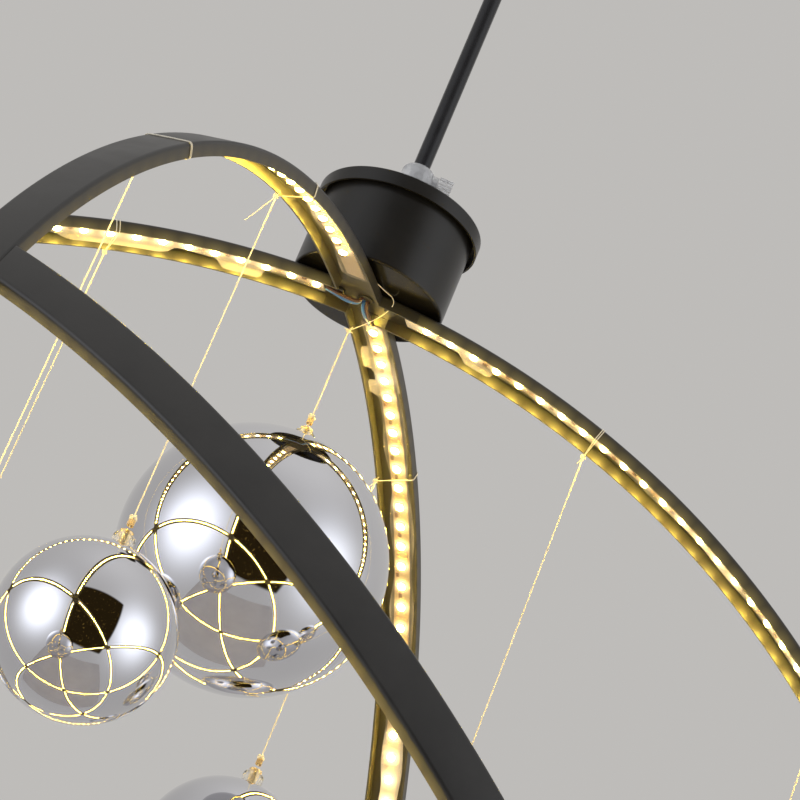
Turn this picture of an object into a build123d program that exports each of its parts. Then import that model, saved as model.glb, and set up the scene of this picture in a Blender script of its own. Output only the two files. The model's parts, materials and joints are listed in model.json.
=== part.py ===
from build123d import *
import os
from math import cos, degrees, radians, sin, sqrt, tan

# Orb chandelier: four open LED channels bent into rings cross as a sphere under a small
# round housing, and mirrored glass balls hang inside it on clear lines.
# Millimetres, +Z up. The origin is the middle of the canopy's rim, on the ceiling.

# ---- Driving sizes -------------------------------------------------------------------
SHEET = 1.2                 # pressed steel of the canopy and the housing
FIT = 0.05                  # radial clearance of a shank in its hole
SEAT = 0.3                  # gap between a moving piece and what carries it

CANOPY_RADIUS = 60.0
CANOPY_HEIGHT = 30.0
CANOPY_EDGE = 5.0           # rounded lower edge
BRACKET_WIDTH = 24.0
BRACKET_SHEET = 2.0
BRACKET_TAB = 15.0          # turned-down ends
CEILING_HOLE_SPACING = 76.0
CEILING_SLOT = 10.0
CEILING_SLOT_RADIUS = 2.5
SIDE_SCREW_RADIUS = 2.0
SIDE_SCREW_DROP = 9.0       # below the ceiling
SIDE_KNOB_RADIUS = 5.0
SIDE_KNOB_LENGTH = 7.0
BLOCK_LENGTH = 20.0         # terminal block
BLOCK_WIDTH = 16.0
BLOCK_HEIGHT = 12.0
BLOCK_HOLE_RADIUS = 1.7

GLAND_THREAD_RADIUS = 8.5
GLAND_FLANGE_RADIUS = 12.0
GLAND_FLANGE_HEIGHT = 6.0
GLAND_STEM = 13.0           # above the canopy's floor
GLAND_NUT_FLAT = 22.0
GLAND_NUT_HEIGHT = 5.0
BOOT_LENGTH = 26.0          # strain relief below the gland
BOOT_WALL = 2.0

CORD_RADIUS = 5.0
CORD_DROP = 207.0           # free cord between the strain relief and the grip
CORD_TAIL_IN_HOUSING = 14.0

GRIP_RADIUS = 10.0
GRIP_HEIGHT = 34.0
GRIP_DOME = 4.2             # rounding of its top
GRIP_HEX = 21.0
GRIP_HEX_HEIGHT = 5.0
GRIP_STEM_RADIUS = 7.0
GRIP_STEM_LENGTH = 11.0
THUMBSCREW_HEIGHT = 28.0    # above the lid
THUMBSCREW_THREAD = 2.5
THUMBSCREW_KNOB_RADIUS = 6.0
THUMBSCREW_KNOB_LENGTH = 8.5
THUMBSCREW_FLUTES = 14
SIDE_BOSS_RADIUS = 5.0
SIDE_BOSS_REACH = 12.5      # from the cord's axis

HOUSING_RADIUS = 46.0
HOUSING_HEIGHT = 58.0       # from the rings to the lid's top
HOUSING_EDGE = 1.5
LID_RADIUS = 50.0
LID_SKIRT = 9.0
LID_SHEET = 1.5
POST_RADIUS = 3.5
POST_CIRCLE = 37.0
LID_SCREW_RADIUS = 1.5
LID_SCREW_LENGTH = 9.0

DRIVER_LENGTH = 60.0
DRIVER_WIDTH = 34.0
DRIVER_HEIGHT = 20.0
PAD_THICKNESS = 6.0
PAD_GAP = 1.0               # from the nuts in the housing's floor
PAD_INSET = 3.0             # from the driver's sides
HUB_SCREW_RADIUS = 2.0
HUB_SCREW_OFFSET = 16.0
HUB_HEAD_RADIUS = 3.6
HUB_HEAD_HEIGHT = 2.2
NUT_FLAT = 7.0
NUT_HEIGHT = 3.2
WIRE_HOLE_RADIUS = 5.0
GROMMET_WALL = 1.4
WIRE_RADIUS = 0.9
WIRE_PITCH = 2.0            # between the two wires of a pair
WIRE_SPREAD = 1.9           # of each pair, from the middle of the grommet

ORB_RADIUS = 500.0          # outer face of every ring
CHANNEL_WIDTH = 25.0
CHANNEL_DEPTH = 8.0
CHANNEL_WALL = 1.2
CHANNEL_CORNER = 2.2
CROSS_RING_TURN = 67.5      # second upright ring, turned from the first
TILT_TURN = 22.5            # direction in which the two sloping rings lean
TILT = 37.0                 # their slope from level

TAPE_WIDTH = 10.0
TAPE_THICKNESS = 0.8
SLEEVE_WIDTH = 12.4
SLEEVE_HEIGHT = 3.0
STRIP_END_GAP = 12.0        # bare channel beside each crossing
GLUE = 0.05

LINE_RADIUS = 0.4
KNOT_RADIUS = 1.5
BEAD_RADIUS = 2.5
GLASS = 1.5
NECK_RADIUS = 6.2
NECK_HEIGHT = 9.0
NECK_EDGE = 2.4
PLUG_RADIUS = 3.1
PLUG_LENGTH = 7.0
COLLAR_RADIUS = 3.9
COLLAR_HEIGHT = 2.2

BIG, MIDDLE, SMALL = 78.0, 60.0, 49.0

# Each ball: ring it is tied to, side wall, degrees from the ring's top, radius,
# and how far its centre hangs below its knot.
BALLS = [
    ("cross", -1, -39.4, MIDDLE, 350.0),
    ("main", -1, -17.6, SMALL, 300.0),
    ("cross", -1, -17.2, SMALL, 277.0),
    ("cross", -1, 2.8, BIG, 158.0),
    ("main", -1, 17.9, MIDDLE, 330.0),
    ("cross", -1, 18.5, SMALL, 262.0),
    ("main", -1, 42.0, SMALL, 250.0),
    ("cross", -1, 52.0, MIDDLE, 240.0),
]

# ---- Heights, from the ceiling down ---------------------------------------------------
canopy_floor = -CANOPY_HEIGHT
gland_bottom = canopy_floor - GLAND_FLANGE_HEIGHT
swing_z = gland_bottom - BOOT_LENGTH
grip_top = swing_z - CORD_DROP
lid_top = grip_top - GRIP_HEIGHT
hub_z = lid_top - HOUSING_HEIGHT
orb_z = hub_z - ORB_RADIUS
housing_floor = hub_z + SHEET
orb_centre = Vector(0, 0, orb_z)
inner_radius = ORB_RADIUS - CHANNEL_DEPTH
base_radius = ORB_RADIUS - CHANNEL_WALL
clear_channel = CHANNEL_WIDTH - 2 * CHANNEL_WALL


class Ring:
    """Frame of one ring: its axis, its highest direction and the level one across."""

    def __init__(self, normal, top):
        self.normal = normal.normalized()
        self.top = top.normalized()
        self.across = self.normal.cross(self.top) * -1
        self.axis = Axis(orb_centre, self.normal)
        self.section = Plane(orb_centre, x_dir=self.top, z_dir=self.top.cross(self.normal))

    def outward(self, angle):
        return self.top * cos(radians(angle)) + self.across * sin(radians(angle))

    def point(self, angle, radius, side):
        return orb_centre + self.outward(angle) * radius + self.normal * side

    def tangent(self, angle):
        return self.across * cos(radians(angle)) - self.top * sin(radians(angle))


def level(turn):
    return Vector(cos(radians(turn)), sin(radians(turn)), 0)


def leaning_ring(turn):
    lean = level(turn)
    normal = lean * sin(radians(TILT)) + Vector(0, 0, cos(radians(TILT)))
    top = lean * -cos(radians(TILT)) + Vector(0, 0, sin(radians(TILT)))
    return Ring(normal, top)


RINGS = {
    "main": Ring(Vector(0, -1, 0), Vector(0, 0, 1)),
    "cross": Ring(level(CROSS_RING_TURN - 90), Vector(0, 0, 1)),
    "left_leaning": leaning_ring(TILT_TURN),
    "right_leaning": leaning_ring(TILT_TURN + 180),
}
ring_names = list(RINGS)


def band(ring, low, high, width, mode=Mode.ADD):
    """A plain hoop of rectangular section, from radius low to high."""
    with BuildSketch(ring.section) as hoop:
        with Locations(((low + high) / 2, 0)):
            Rectangle(high - low, width)
    revolve(hoop.sketch, axis=ring.axis, mode=mode)


def finish(builder, name):
    builder.part.label = name
    export_step(builder.part, f"parts/{name}.step")


def hexagon_prism(across_flats, height, at, bore=0.0, turn=0.0):
    """A nut blank that rises from the point at, with its bore."""
    with BuildSketch(Plane(at)) as blank:
        RegularPolygon(across_flats / 2, 6, major_radius=False, rotation=turn)
        if bore:
            Circle(bore, mode=Mode.SUBTRACT)
    extrude(blank.sketch, amount=height)


os.makedirs("parts", exist_ok=True)

# ---- Ceiling bracket, canopy and gland --------------------------------------------------
tab_x = CANOPY_RADIUS - SHEET - FIT
with BuildPart() as ceiling_bracket:
    with BuildSketch(Plane.XZ) as profile:
        with Locations((0, -BRACKET_SHEET / 2)):
            Rectangle(2 * tab_x, BRACKET_SHEET)
        with Locations((tab_x - BRACKET_SHEET / 2, -BRACKET_TAB / 2),
                       (BRACKET_SHEET / 2 - tab_x, -BRACKET_TAB / 2)):
            Rectangle(BRACKET_SHEET, BRACKET_TAB)
    extrude(amount=BRACKET_WIDTH / 2, both=True)
    with BuildSketch(Plane.XY) as canopy_round:
        Circle(tab_x)
    extrude(amount=-BRACKET_TAB, mode=Mode.INTERSECT)
    with BuildSketch(Plane.XY) as ceiling_slots:
        with GridLocations(CEILING_HOLE_SPACING, 0, 2, 1):
            SlotOverall(CEILING_SLOT, 2 * CEILING_SLOT_RADIUS)
        Circle(CORD_RADIUS * 2)
    extrude(amount=-BRACKET_SHEET, mode=Mode.SUBTRACT)
    with Locations(Plane((0, 0, -SIDE_SCREW_DROP), z_dir=(1, 0, 0))):
        Cylinder(SIDE_SCREW_RADIUS + FIT, 2 * CANOPY_RADIUS, mode=Mode.SUBTRACT)
finish(ceiling_bracket, "ceiling_bracket")

with BuildPart() as canopy:
    with Locations((0, 0, canopy_floor)):
        Cylinder(CANOPY_RADIUS, CANOPY_HEIGHT, align=(Align.CENTER, Align.CENTER, Align.MIN))
    fillet(canopy.edges().sort_by(Axis.Z)[0], CANOPY_EDGE)
    offset(amount=-SHEET, openings=canopy.faces().sort_by(Axis.Z)[-1])
    with Locations((0, 0, canopy_floor)):
        Cylinder(GLAND_THREAD_RADIUS + FIT, 3 * SHEET, mode=Mode.SUBTRACT)
    with Locations(Plane((0, 0, -SIDE_SCREW_DROP), z_dir=(1, 0, 0))):
        Cylinder(SIDE_SCREW_RADIUS + FIT, 3 * CANOPY_RADIUS, mode=Mode.SUBTRACT)
finish(canopy, "canopy")

with BuildPart() as canopy_knobs:
    for side in (1, -1):
        out = Vector(side, 0, 0)
        seat = out * CANOPY_RADIUS + Vector(0, 0, -SIDE_SCREW_DROP)
        with BuildSketch(Plane(seat, z_dir=out)) as knob:
            Circle(SIDE_KNOB_RADIUS)
            with PolarLocations(SIDE_KNOB_RADIUS, 12):
                Circle(SIDE_KNOB_RADIUS / 9, mode=Mode.SUBTRACT)
        extrude(amount=SIDE_KNOB_LENGTH)
        with BuildSketch(Plane(seat, z_dir=out * -1)) as shank:
            Circle(SIDE_SCREW_RADIUS)
        extrude(amount=3 * SHEET + BRACKET_SHEET)
finish(canopy_knobs, "canopy_knobs")

bush_radius = CORD_RADIUS + BOOT_WALL
with BuildPart() as cord_gland:
    with BuildSketch(Plane.XY.offset(gland_bottom)) as flange:
        Circle(GLAND_FLANGE_RADIUS)
    extrude(amount=GLAND_FLANGE_HEIGHT)
    fillet(cord_gland.edges().sort_by(Axis.Z)[0], 1.5)
    with BuildSketch(Plane.XY.offset(canopy_floor)) as stem:
        Circle(GLAND_THREAD_RADIUS)
    extrude(amount=GLAND_STEM)
    with BuildSketch(Plane.XY.offset(gland_bottom)) as bush_bore:
        Circle(bush_radius + FIT)
    extrude(amount=GLAND_FLANGE_HEIGHT + GLAND_STEM, mode=Mode.SUBTRACT)
finish(cord_gland, "cord_gland")

with BuildPart() as gland_nut:
    hexagon_prism(
        GLAND_NUT_FLAT, GLAND_NUT_HEIGHT, (0, 0, canopy_floor + SHEET), GLAND_THREAD_RADIUS + FIT
    )
finish(gland_nut, "gland_nut")

block_x = CORD_RADIUS * 2 + 2.0 + BLOCK_LENGTH / 2
with BuildPart() as terminal_block:
    with BuildSketch(Plane.XY.offset(-BRACKET_SHEET)) as footprint:
        with Locations((block_x, 0)):
            RectangleRounded(BLOCK_LENGTH, BLOCK_WIDTH, 1.0)
    extrude(amount=-BLOCK_HEIGHT)
    with Locations(Plane((block_x, 0, -BRACKET_SHEET - BLOCK_HEIGHT / 2), z_dir=(0, 1, 0))):
        with GridLocations(BLOCK_LENGTH * 0.3, 0, 3, 1):
            Cylinder(BLOCK_HOLE_RADIUS, 2 * BLOCK_WIDTH, mode=Mode.SUBTRACT)
finish(terminal_block, "terminal_block")

# ---- Strain relief that turns in the gland, and the cord's end inside the canopy ---------
with BuildPart() as strain_relief:
    with BuildSketch(Plane.XZ) as half:
        with BuildLine() as outline:
            Polyline(
                (CORD_RADIUS + FIT, canopy_floor + GLAND_STEM),
                (bush_radius, canopy_floor + GLAND_STEM),
                (bush_radius, gland_bottom - SEAT),
                (bush_radius + 2.5, gland_bottom - SEAT),
                (bush_radius + 2.5, gland_bottom - 4.0),
                (bush_radius, swing_z),
                (CORD_RADIUS + FIT, swing_z),
                close=True,
            )
        make_face()
    revolve(axis=Axis.Z)
    with Locations((0, 0, swing_z)):
        Sphere(CORD_RADIUS + SEAT, mode=Mode.SUBTRACT)
finish(strain_relief, "strain_relief")

cord_end_top = -BRACKET_SHEET - 4.0
with BuildPart() as cord_end:
    with BuildSketch(Plane.XY.offset(swing_z + CORD_RADIUS + SEAT)) as core:
        Circle(CORD_RADIUS)
    extrude(amount=cord_end_top - (swing_z + CORD_RADIUS + SEAT))
finish(cord_end, "cord_end")

# ---- Cord, grip and thumbscrew ------------------------------------------------------------
cord_bottom = lid_top - GRIP_STEM_LENGTH - CORD_TAIL_IN_HOUSING
with BuildPart() as power_cord:
    with BuildSketch(Plane.XY.offset(cord_bottom)) as cord_section:
        Circle(CORD_RADIUS)
    extrude(amount=swing_z - cord_bottom)
    with Locations((0, 0, swing_z)):
        Sphere(CORD_RADIUS)
finish(power_cord, "power_cord")

boss_z = lid_top + THUMBSCREW_HEIGHT
with BuildPart() as cord_grip:
    hexagon_prism(GRIP_HEX, GRIP_HEX_HEIGHT, (0, 0, lid_top))
    with BuildSketch(Plane.XY.offset(lid_top)) as barrel:
        Circle(GRIP_RADIUS)
    extrude(amount=GRIP_HEIGHT)
    fillet(cord_grip.edges().sort_by(Axis.Z)[-1], GRIP_DOME)
    with BuildSketch(Plane((0, 0, boss_z), z_dir=(1, 0, 0))) as side_boss:
        Circle(SIDE_BOSS_RADIUS)
    extrude(amount=SIDE_BOSS_REACH)
    with BuildSketch(Plane.XY.offset(lid_top)) as stem_section:
        Circle(GRIP_STEM_RADIUS)
    extrude(amount=-GRIP_STEM_LENGTH)
    with BuildSketch(Plane.XY.offset(lid_top - GRIP_STEM_LENGTH)) as cord_bore:
        Circle(CORD_RADIUS + FIT)
    extrude(amount=GRIP_STEM_LENGTH + GRIP_HEIGHT, mode=Mode.SUBTRACT)
    with BuildSketch(Plane((0, 0, boss_z), z_dir=(1, 0, 0))) as screw_bore:
        Circle(THUMBSCREW_THREAD + FIT)
    extrude(amount=SIDE_BOSS_REACH, mode=Mode.SUBTRACT)
finish(cord_grip, "cord_grip")

with BuildPart() as grip_thumbscrew:
    with BuildSketch(Plane((CORD_RADIUS + SEAT, 0, boss_z), z_dir=(1, 0, 0))) as screw_shank:
        Circle(THUMBSCREW_THREAD)
    extrude(amount=SIDE_BOSS_REACH + SEAT - CORD_RADIUS)
    knob_x = SIDE_BOSS_REACH + SEAT
    with BuildSketch(Plane((knob_x, 0, boss_z), z_dir=(1, 0, 0))) as fluted:
        Circle(THUMBSCREW_KNOB_RADIUS)
        with PolarLocations(THUMBSCREW_KNOB_RADIUS + 0.4, THUMBSCREW_FLUTES):
            Circle(0.9, mode=Mode.SUBTRACT)
    extrude(amount=THUMBSCREW_KNOB_LENGTH)
finish(grip_thumbscrew, "grip_thumbscrew")

with BuildPart() as grip_nut:
    hexagon_prism(
        GRIP_HEX, 4.0, (0, 0, lid_top - LID_SHEET - 4.0), GRIP_STEM_RADIUS + FIT, turn=30.0
    )
finish(grip_nut, "grip_nut")

# ---- Housing --------------------------------------------------------------------------------
post_top = lid_top - LID_SHEET
with BuildPart() as housing_lid:
    with Locations((0, 0, lid_top)):
        Cylinder(LID_RADIUS, LID_SKIRT, align=(Align.CENTER, Align.CENTER, Align.MAX))
    fillet(housing_lid.edges().sort_by(Axis.Z)[-1], 1.0)
    with Locations((0, 0, lid_top - LID_SHEET)):
        Cylinder(
            LID_RADIUS - SHEET, LID_SKIRT,
            align=(Align.CENTER, Align.CENTER, Align.MAX), mode=Mode.SUBTRACT,
        )
    with Locations((0, 0, lid_top)):
        Cylinder(GRIP_STEM_RADIUS + FIT, 3 * LID_SHEET, mode=Mode.SUBTRACT)
        with GridLocations(0, 2 * POST_CIRCLE, 1, 2):
            Cylinder(LID_SCREW_RADIUS + FIT, 3 * LID_SHEET, mode=Mode.SUBTRACT)
finish(housing_lid, "housing_lid")

with BuildPart() as lid_screws:
    for y in (POST_CIRCLE, -POST_CIRCLE):
        with BuildSketch(Plane((0, y, lid_top))) as screw_head:
            Circle(2 * LID_SCREW_RADIUS)
        extrude(amount=1.8)
        with BuildSketch(Plane((0, y, lid_top))) as screw_body:
            Circle(LID_SCREW_RADIUS)
        extrude(amount=-LID_SCREW_LENGTH)
    fillet(lid_screws.edges().group_by(Axis.Z)[-1], 0.8)
finish(lid_screws, "lid_screws")

with BuildPart() as housing_cup:
    with Locations((0, 0, hub_z)):
        Cylinder(
            HOUSING_RADIUS, HOUSING_HEIGHT - LID_SHEET,
            align=(Align.CENTER, Align.CENTER, Align.MIN),
        )
    fillet(housing_cup.edges().sort_by(Axis.Z)[0], HOUSING_EDGE)
    offset(amount=-SHEET, openings=housing_cup.faces().sort_by(Axis.Z)[-1])
    with Locations((0, 0, housing_floor)):
        with GridLocations(0, 2 * POST_CIRCLE, 1, 2):
            Cylinder(
                POST_RADIUS, post_top - housing_floor,
                align=(Align.CENTER, Align.CENTER, Align.MIN),
            )
    with Locations((0, 0, post_top)):
        with GridLocations(0, 2 * POST_CIRCLE, 1, 2):
            Cylinder(
                LID_SCREW_RADIUS + FIT, 2 * LID_SCREW_LENGTH, mode=Mode.SUBTRACT,
            )
    with Locations((0, 0, hub_z)):
        Cylinder(WIRE_HOLE_RADIUS + FIT, 3 * SHEET, mode=Mode.SUBTRACT)
        with GridLocations(2 * HUB_SCREW_OFFSET, 0, 2, 1):
            Cylinder(HUB_SCREW_RADIUS + FIT, 3 * SHEET, mode=Mode.SUBTRACT)
finish(housing_cup, "housing_cup")

driver_bottom = housing_floor + PAD_THICKNESS
with BuildPart() as led_driver:
    with BuildSketch(Plane.XY.offset(driver_bottom)) as driver_plan:
        RectangleRounded(DRIVER_LENGTH, DRIVER_WIDTH, 3.0)
    extrude(amount=DRIVER_HEIGHT)
    fillet(led_driver.edges().group_by(Axis.Z)[-1], 1.5)
finish(led_driver, "led_driver")

pad_inner = HUB_SCREW_OFFSET + NUT_FLAT / sqrt(3) + PAD_GAP
with BuildPart() as driver_pads:
    with BuildSketch(Plane.XY.offset(housing_floor)) as pad_plan:
        with GridLocations(DRIVER_LENGTH / 2 + pad_inner, 0, 2, 1):
            Rectangle(DRIVER_LENGTH / 2 - pad_inner, DRIVER_WIDTH - 2 * PAD_INSET)
    extrude(amount=PAD_THICKNESS)
finish(driver_pads, "driver_pads")

# ---- Hub fixings: two screws through the main ring into the housing's floor -------------------
head_reach = HUB_SCREW_OFFSET + HUB_HEAD_RADIUS
head_top = orb_z + sqrt(base_radius ** 2 - head_reach ** 2) - GLUE
with BuildPart() as hub_screws:
    for x in (HUB_SCREW_OFFSET, -HUB_SCREW_OFFSET):
        with BuildSketch(Plane((x, 0, head_top))) as hub_head:
            Circle(HUB_HEAD_RADIUS)
        extrude(amount=-HUB_HEAD_HEIGHT)
        with BuildSketch(Plane((x, 0, head_top))) as hub_shank:
            Circle(HUB_SCREW_RADIUS)
        extrude(amount=housing_floor + NUT_HEIGHT + 1.0 - head_top)
    fillet(hub_screws.edges().group_by(Axis.Z)[0], 0.9)
finish(hub_screws, "hub_screws")

with BuildPart() as hub_nuts:
    for x in (HUB_SCREW_OFFSET, -HUB_SCREW_OFFSET):
        hexagon_prism(NUT_FLAT, NUT_HEIGHT, (x, 0, housing_floor), HUB_SCREW_RADIUS + FIT)
finish(hub_nuts, "hub_nuts")

with BuildPart() as wire_grommet:
    with BuildSketch(Plane.XY.offset(orb_z + base_radius - 0.8)) as grommet_tube:
        Circle(WIRE_HOLE_RADIUS)
        Circle(WIRE_HOLE_RADIUS - GROMMET_WALL, mode=Mode.SUBTRACT)
    extrude(amount=housing_floor + 1.6 - (orb_z + base_radius - 0.8))
    with BuildSketch(Plane.XY.offset(housing_floor)) as grommet_lip:
        Circle(WIRE_HOLE_RADIUS + 1.8)
        Circle(WIRE_HOLE_RADIUS - GROMMET_WALL, mode=Mode.SUBTRACT)
    extrude(amount=1.6)
finish(wire_grommet, "wire_grommet")

# ---- Rings: each later ring butts on the side walls of the ones before it ------------------------
def cut_crossings(others, width):
    for other in others:
        band(other, inner_radius - 3, ORB_RADIUS + 3, width, Mode.SUBTRACT)


def cut_hub_holes():
    with Locations((0, 0, hub_z)):
        Cylinder(WIRE_HOLE_RADIUS + FIT, 4 * SHEET, mode=Mode.SUBTRACT)
        with GridLocations(2 * HUB_SCREW_OFFSET, 0, 2, 1):
            Cylinder(HUB_SCREW_RADIUS + FIT, 4 * SHEET, mode=Mode.SUBTRACT)


for number, name in enumerate(ring_names):
    ring = RINGS[name]
    earlier = [RINGS[other] for other in ring_names[:number]]
    later = [RINGS[other] for other in ring_names[number + 1:]]
    with BuildSketch(ring.section) as web_section:
        with Locations((ORB_RADIUS - CHANNEL_DEPTH / 2, 0)):
            Rectangle(CHANNEL_DEPTH, CHANNEL_WIDTH)
        fillet(web_section.vertices().group_by(Axis.X)[-1], CHANNEL_CORNER)
        with Locations((base_radius - CHANNEL_DEPTH, 0)):
            Rectangle(2 * CHANNEL_DEPTH, CHANNEL_WIDTH, mode=Mode.SUBTRACT)
    with BuildSketch(ring.section) as u_section:
        with Locations((ORB_RADIUS - CHANNEL_DEPTH / 2, 0)):
            Rectangle(CHANNEL_DEPTH, CHANNEL_WIDTH)
        fillet(u_section.vertices().group_by(Axis.X)[-1], CHANNEL_CORNER)
        with Locations((base_radius - CHANNEL_DEPTH, 0)):
            Rectangle(2 * CHANNEL_DEPTH, clear_channel, mode=Mode.SUBTRACT)

    with BuildPart() as channel:
        revolve(u_section.sketch, axis=ring.axis)
        cut_crossings(earlier, CHANNEL_WIDTH)
        cut_crossings(later, clear_channel)
        if name == "main":
            cut_hub_holes()
        if later:
            # At a crossing only the channel's floor goes through.
            with BuildPart(mode=Mode.PRIVATE) as floors:
                revolve(web_section.sketch, axis=ring.axis)
                with BuildPart(mode=Mode.INTERSECT) as crossings:
                    for other in later:
                        band(other, inner_radius - 3, ORB_RADIUS + 3, clear_channel)
                cut_crossings(earlier, CHANNEL_WIDTH)
                if name == "main":
                    cut_hub_holes()
            add(floors.part, clean=False)
    finish(channel, f"ring_{name}")

# ---- LED tape and its clear sleeve in every channel, broken at the crossings -----------------------
tape_outer = base_radius - GLUE
clear_width = CHANNEL_WIDTH + 2 * STRIP_END_GAP
for name in ring_names:
    ring = RINGS[name]
    crossed = [RINGS[other] for other in ring_names if other != name]
    with BuildPart() as tape:
        band(ring, tape_outer - TAPE_THICKNESS, tape_outer, TAPE_WIDTH)
        for other in crossed:
            band(other, inner_radius - 3, ORB_RADIUS + 3, clear_width, Mode.SUBTRACT)
    finish(tape, f"led_tape_{name}")
    with BuildPart() as sleeve:
        band(ring, tape_outer - SLEEVE_HEIGHT, tape_outer, SLEEVE_WIDTH)
        band(
            ring, tape_outer - TAPE_THICKNESS - GLUE, tape_outer + 1,
            TAPE_WIDTH + 2 * GLUE, Mode.SUBTRACT,
        )
        for other in crossed:
            band(other, inner_radius - 3, ORB_RADIUS + 3, clear_width, Mode.SUBTRACT)
    finish(sleeve, f"led_sleeve_{name}")

# ---- Feed wires from the grommet to the tapes on the main and the cross ring ------------------------
wire_level = hub_z - CHANNEL_WALL - SLEEVE_HEIGHT - 1.0
wire_end = CHANNEL_WIDTH / 2 + STRIP_END_GAP - 1.0
for colour, shift in (("blue", WIRE_PITCH / 2), ("brown", -WIRE_PITCH / 2)):
    with BuildPart() as feed:
        for toward, aside in ((Vector(-1, 0, 0), Vector(0, 1, 0)),
                              (RINGS["cross"].across, -RINGS["cross"].normal)):
            start = toward * WIRE_SPREAD + aside * shift + Vector(0, 0, housing_floor + 5.0)
            below = toward * WIRE_SPREAD + aside * shift + Vector(0, 0, wire_level)
            end = toward * wire_end + aside * shift + Vector(0, 0, wire_level)
            with BuildLine() as route:
                FilletPolyline(start, below, end, radius=3.0)
            with BuildSketch(Plane(start, z_dir=(0, 0, -1))) as core_section:
                Circle(WIRE_RADIUS)
            sweep(core_section.sketch, path=route.line)
    finish(feed, f"{colour}_wires")

# ---- Glass balls on their lines ---------------------------------------------------------------------
loop_gap = 0.1
loop_grow = 2 * loop_gap
least_loop_angle = degrees(sqrt(2 * (2 * LINE_RADIUS + 3 * loop_gap) / ORB_RADIUS))
wall_middle = (CHANNEL_WIDTH - CHANNEL_WALL) / 2


def tie_point(ring_name, side, angle):
    """Middle of the knot, just under the rim of the channel's side wall."""
    rim = RINGS[ring_name].point(angle, inner_radius, side * wall_middle)
    return rim - Vector(0, 0, (KNOT_RADIUS + SEAT) / cos(radians(angle)))


def loop_angle(angle):
    """The loop lies beside its knot, and clear of the housing's floor."""
    slope = radians(abs(angle))
    aside = (KNOT_RADIUS + SEAT) * tan(slope) + KNOT_RADIUS + LINE_RADIUS + 2 * SEAT
    size = max(degrees(slope + aside / inner_radius), least_loop_angle)
    return size if angle > 0 else -size


with BuildPart() as line_loops:
    for ring_name, side, angle, ball_radius, drop in BALLS:
        ring = RINGS[ring_name]
        at = loop_angle(angle)
        middle = ring.point(at, ORB_RADIUS - CHANNEL_DEPTH / 2, 0)
        with BuildSketch(Plane(middle, x_dir=ring.outward(at), z_dir=ring.tangent(at))) as loop:
            RectangleRounded(
                CHANNEL_DEPTH + loop_grow + 4 * LINE_RADIUS,
                CHANNEL_WIDTH + loop_grow + 4 * LINE_RADIUS, 2 * LINE_RADIUS,
            )
            Rectangle(CHANNEL_DEPTH + loop_grow, CHANNEL_WIDTH + loop_grow, mode=Mode.SUBTRACT)
        extrude(amount=LINE_RADIUS, both=True)
finish(line_loops, "line_loops")

for count, (ring_name, side, angle, ball_radius, drop) in enumerate(BALLS, start=1):
    knot = tie_point(ring_name, side, angle)
    centre = knot - Vector(0, 0, drop)
    neck_base = centre.Z + sqrt(ball_radius ** 2 - NECK_RADIUS ** 2)
    neck_top = centre.Z + ball_radius + NECK_HEIGHT
    collar_top = neck_top + COLLAR_HEIGHT
    bead_z = collar_top + SEAT + BEAD_RADIUS

    with BuildPart() as glass_ball:
        with Locations(centre):
            Sphere(ball_radius)
        with BuildSketch(Plane((centre.X, centre.Y, neck_base - 1.0))) as neck_section:
            Circle(NECK_RADIUS)
        extrude(amount=neck_top - neck_base + 1.0)
        fillet(glass_ball.edges().sort_by(Axis.Z)[-1], NECK_EDGE)
        with Locations(centre):
            Sphere(ball_radius - GLASS, mode=Mode.SUBTRACT)
        with BuildSketch(Plane((centre.X, centre.Y, neck_top))) as neck_bore:
            Circle(PLUG_RADIUS + FIT)
        extrude(amount=-NECK_HEIGHT - 3 * GLASS, mode=Mode.SUBTRACT)
    finish(glass_ball, f"glass_ball_{count}")

    with BuildPart() as ball_plug:
        with BuildSketch(Plane((centre.X, centre.Y, neck_top))) as collar:
            Circle(COLLAR_RADIUS)
        extrude(amount=COLLAR_HEIGHT)
        fillet(ball_plug.edges().sort_by(Axis.Z)[-1], 0.8)
        with BuildSketch(Plane((centre.X, centre.Y, neck_top))) as plug_shank:
            Circle(PLUG_RADIUS)
        extrude(amount=-PLUG_LENGTH)
    finish(ball_plug, f"ball_plug_{count}")

    with BuildPart() as ball_line:
        with Locations(knot):
            Sphere(KNOT_RADIUS)
        with Locations((knot.X, knot.Y, bead_z)):
            Sphere(BEAD_RADIUS)
        with BuildSketch(Plane((knot.X, knot.Y, bead_z))) as line_section:
            Circle(LINE_RADIUS)
        extrude(amount=knot.Z - bead_z)
    finish(ball_line, f"ball_line_{count}")
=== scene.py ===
import json
import math

import bpy
from mathutils import Matrix, Vector, noise


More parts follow.
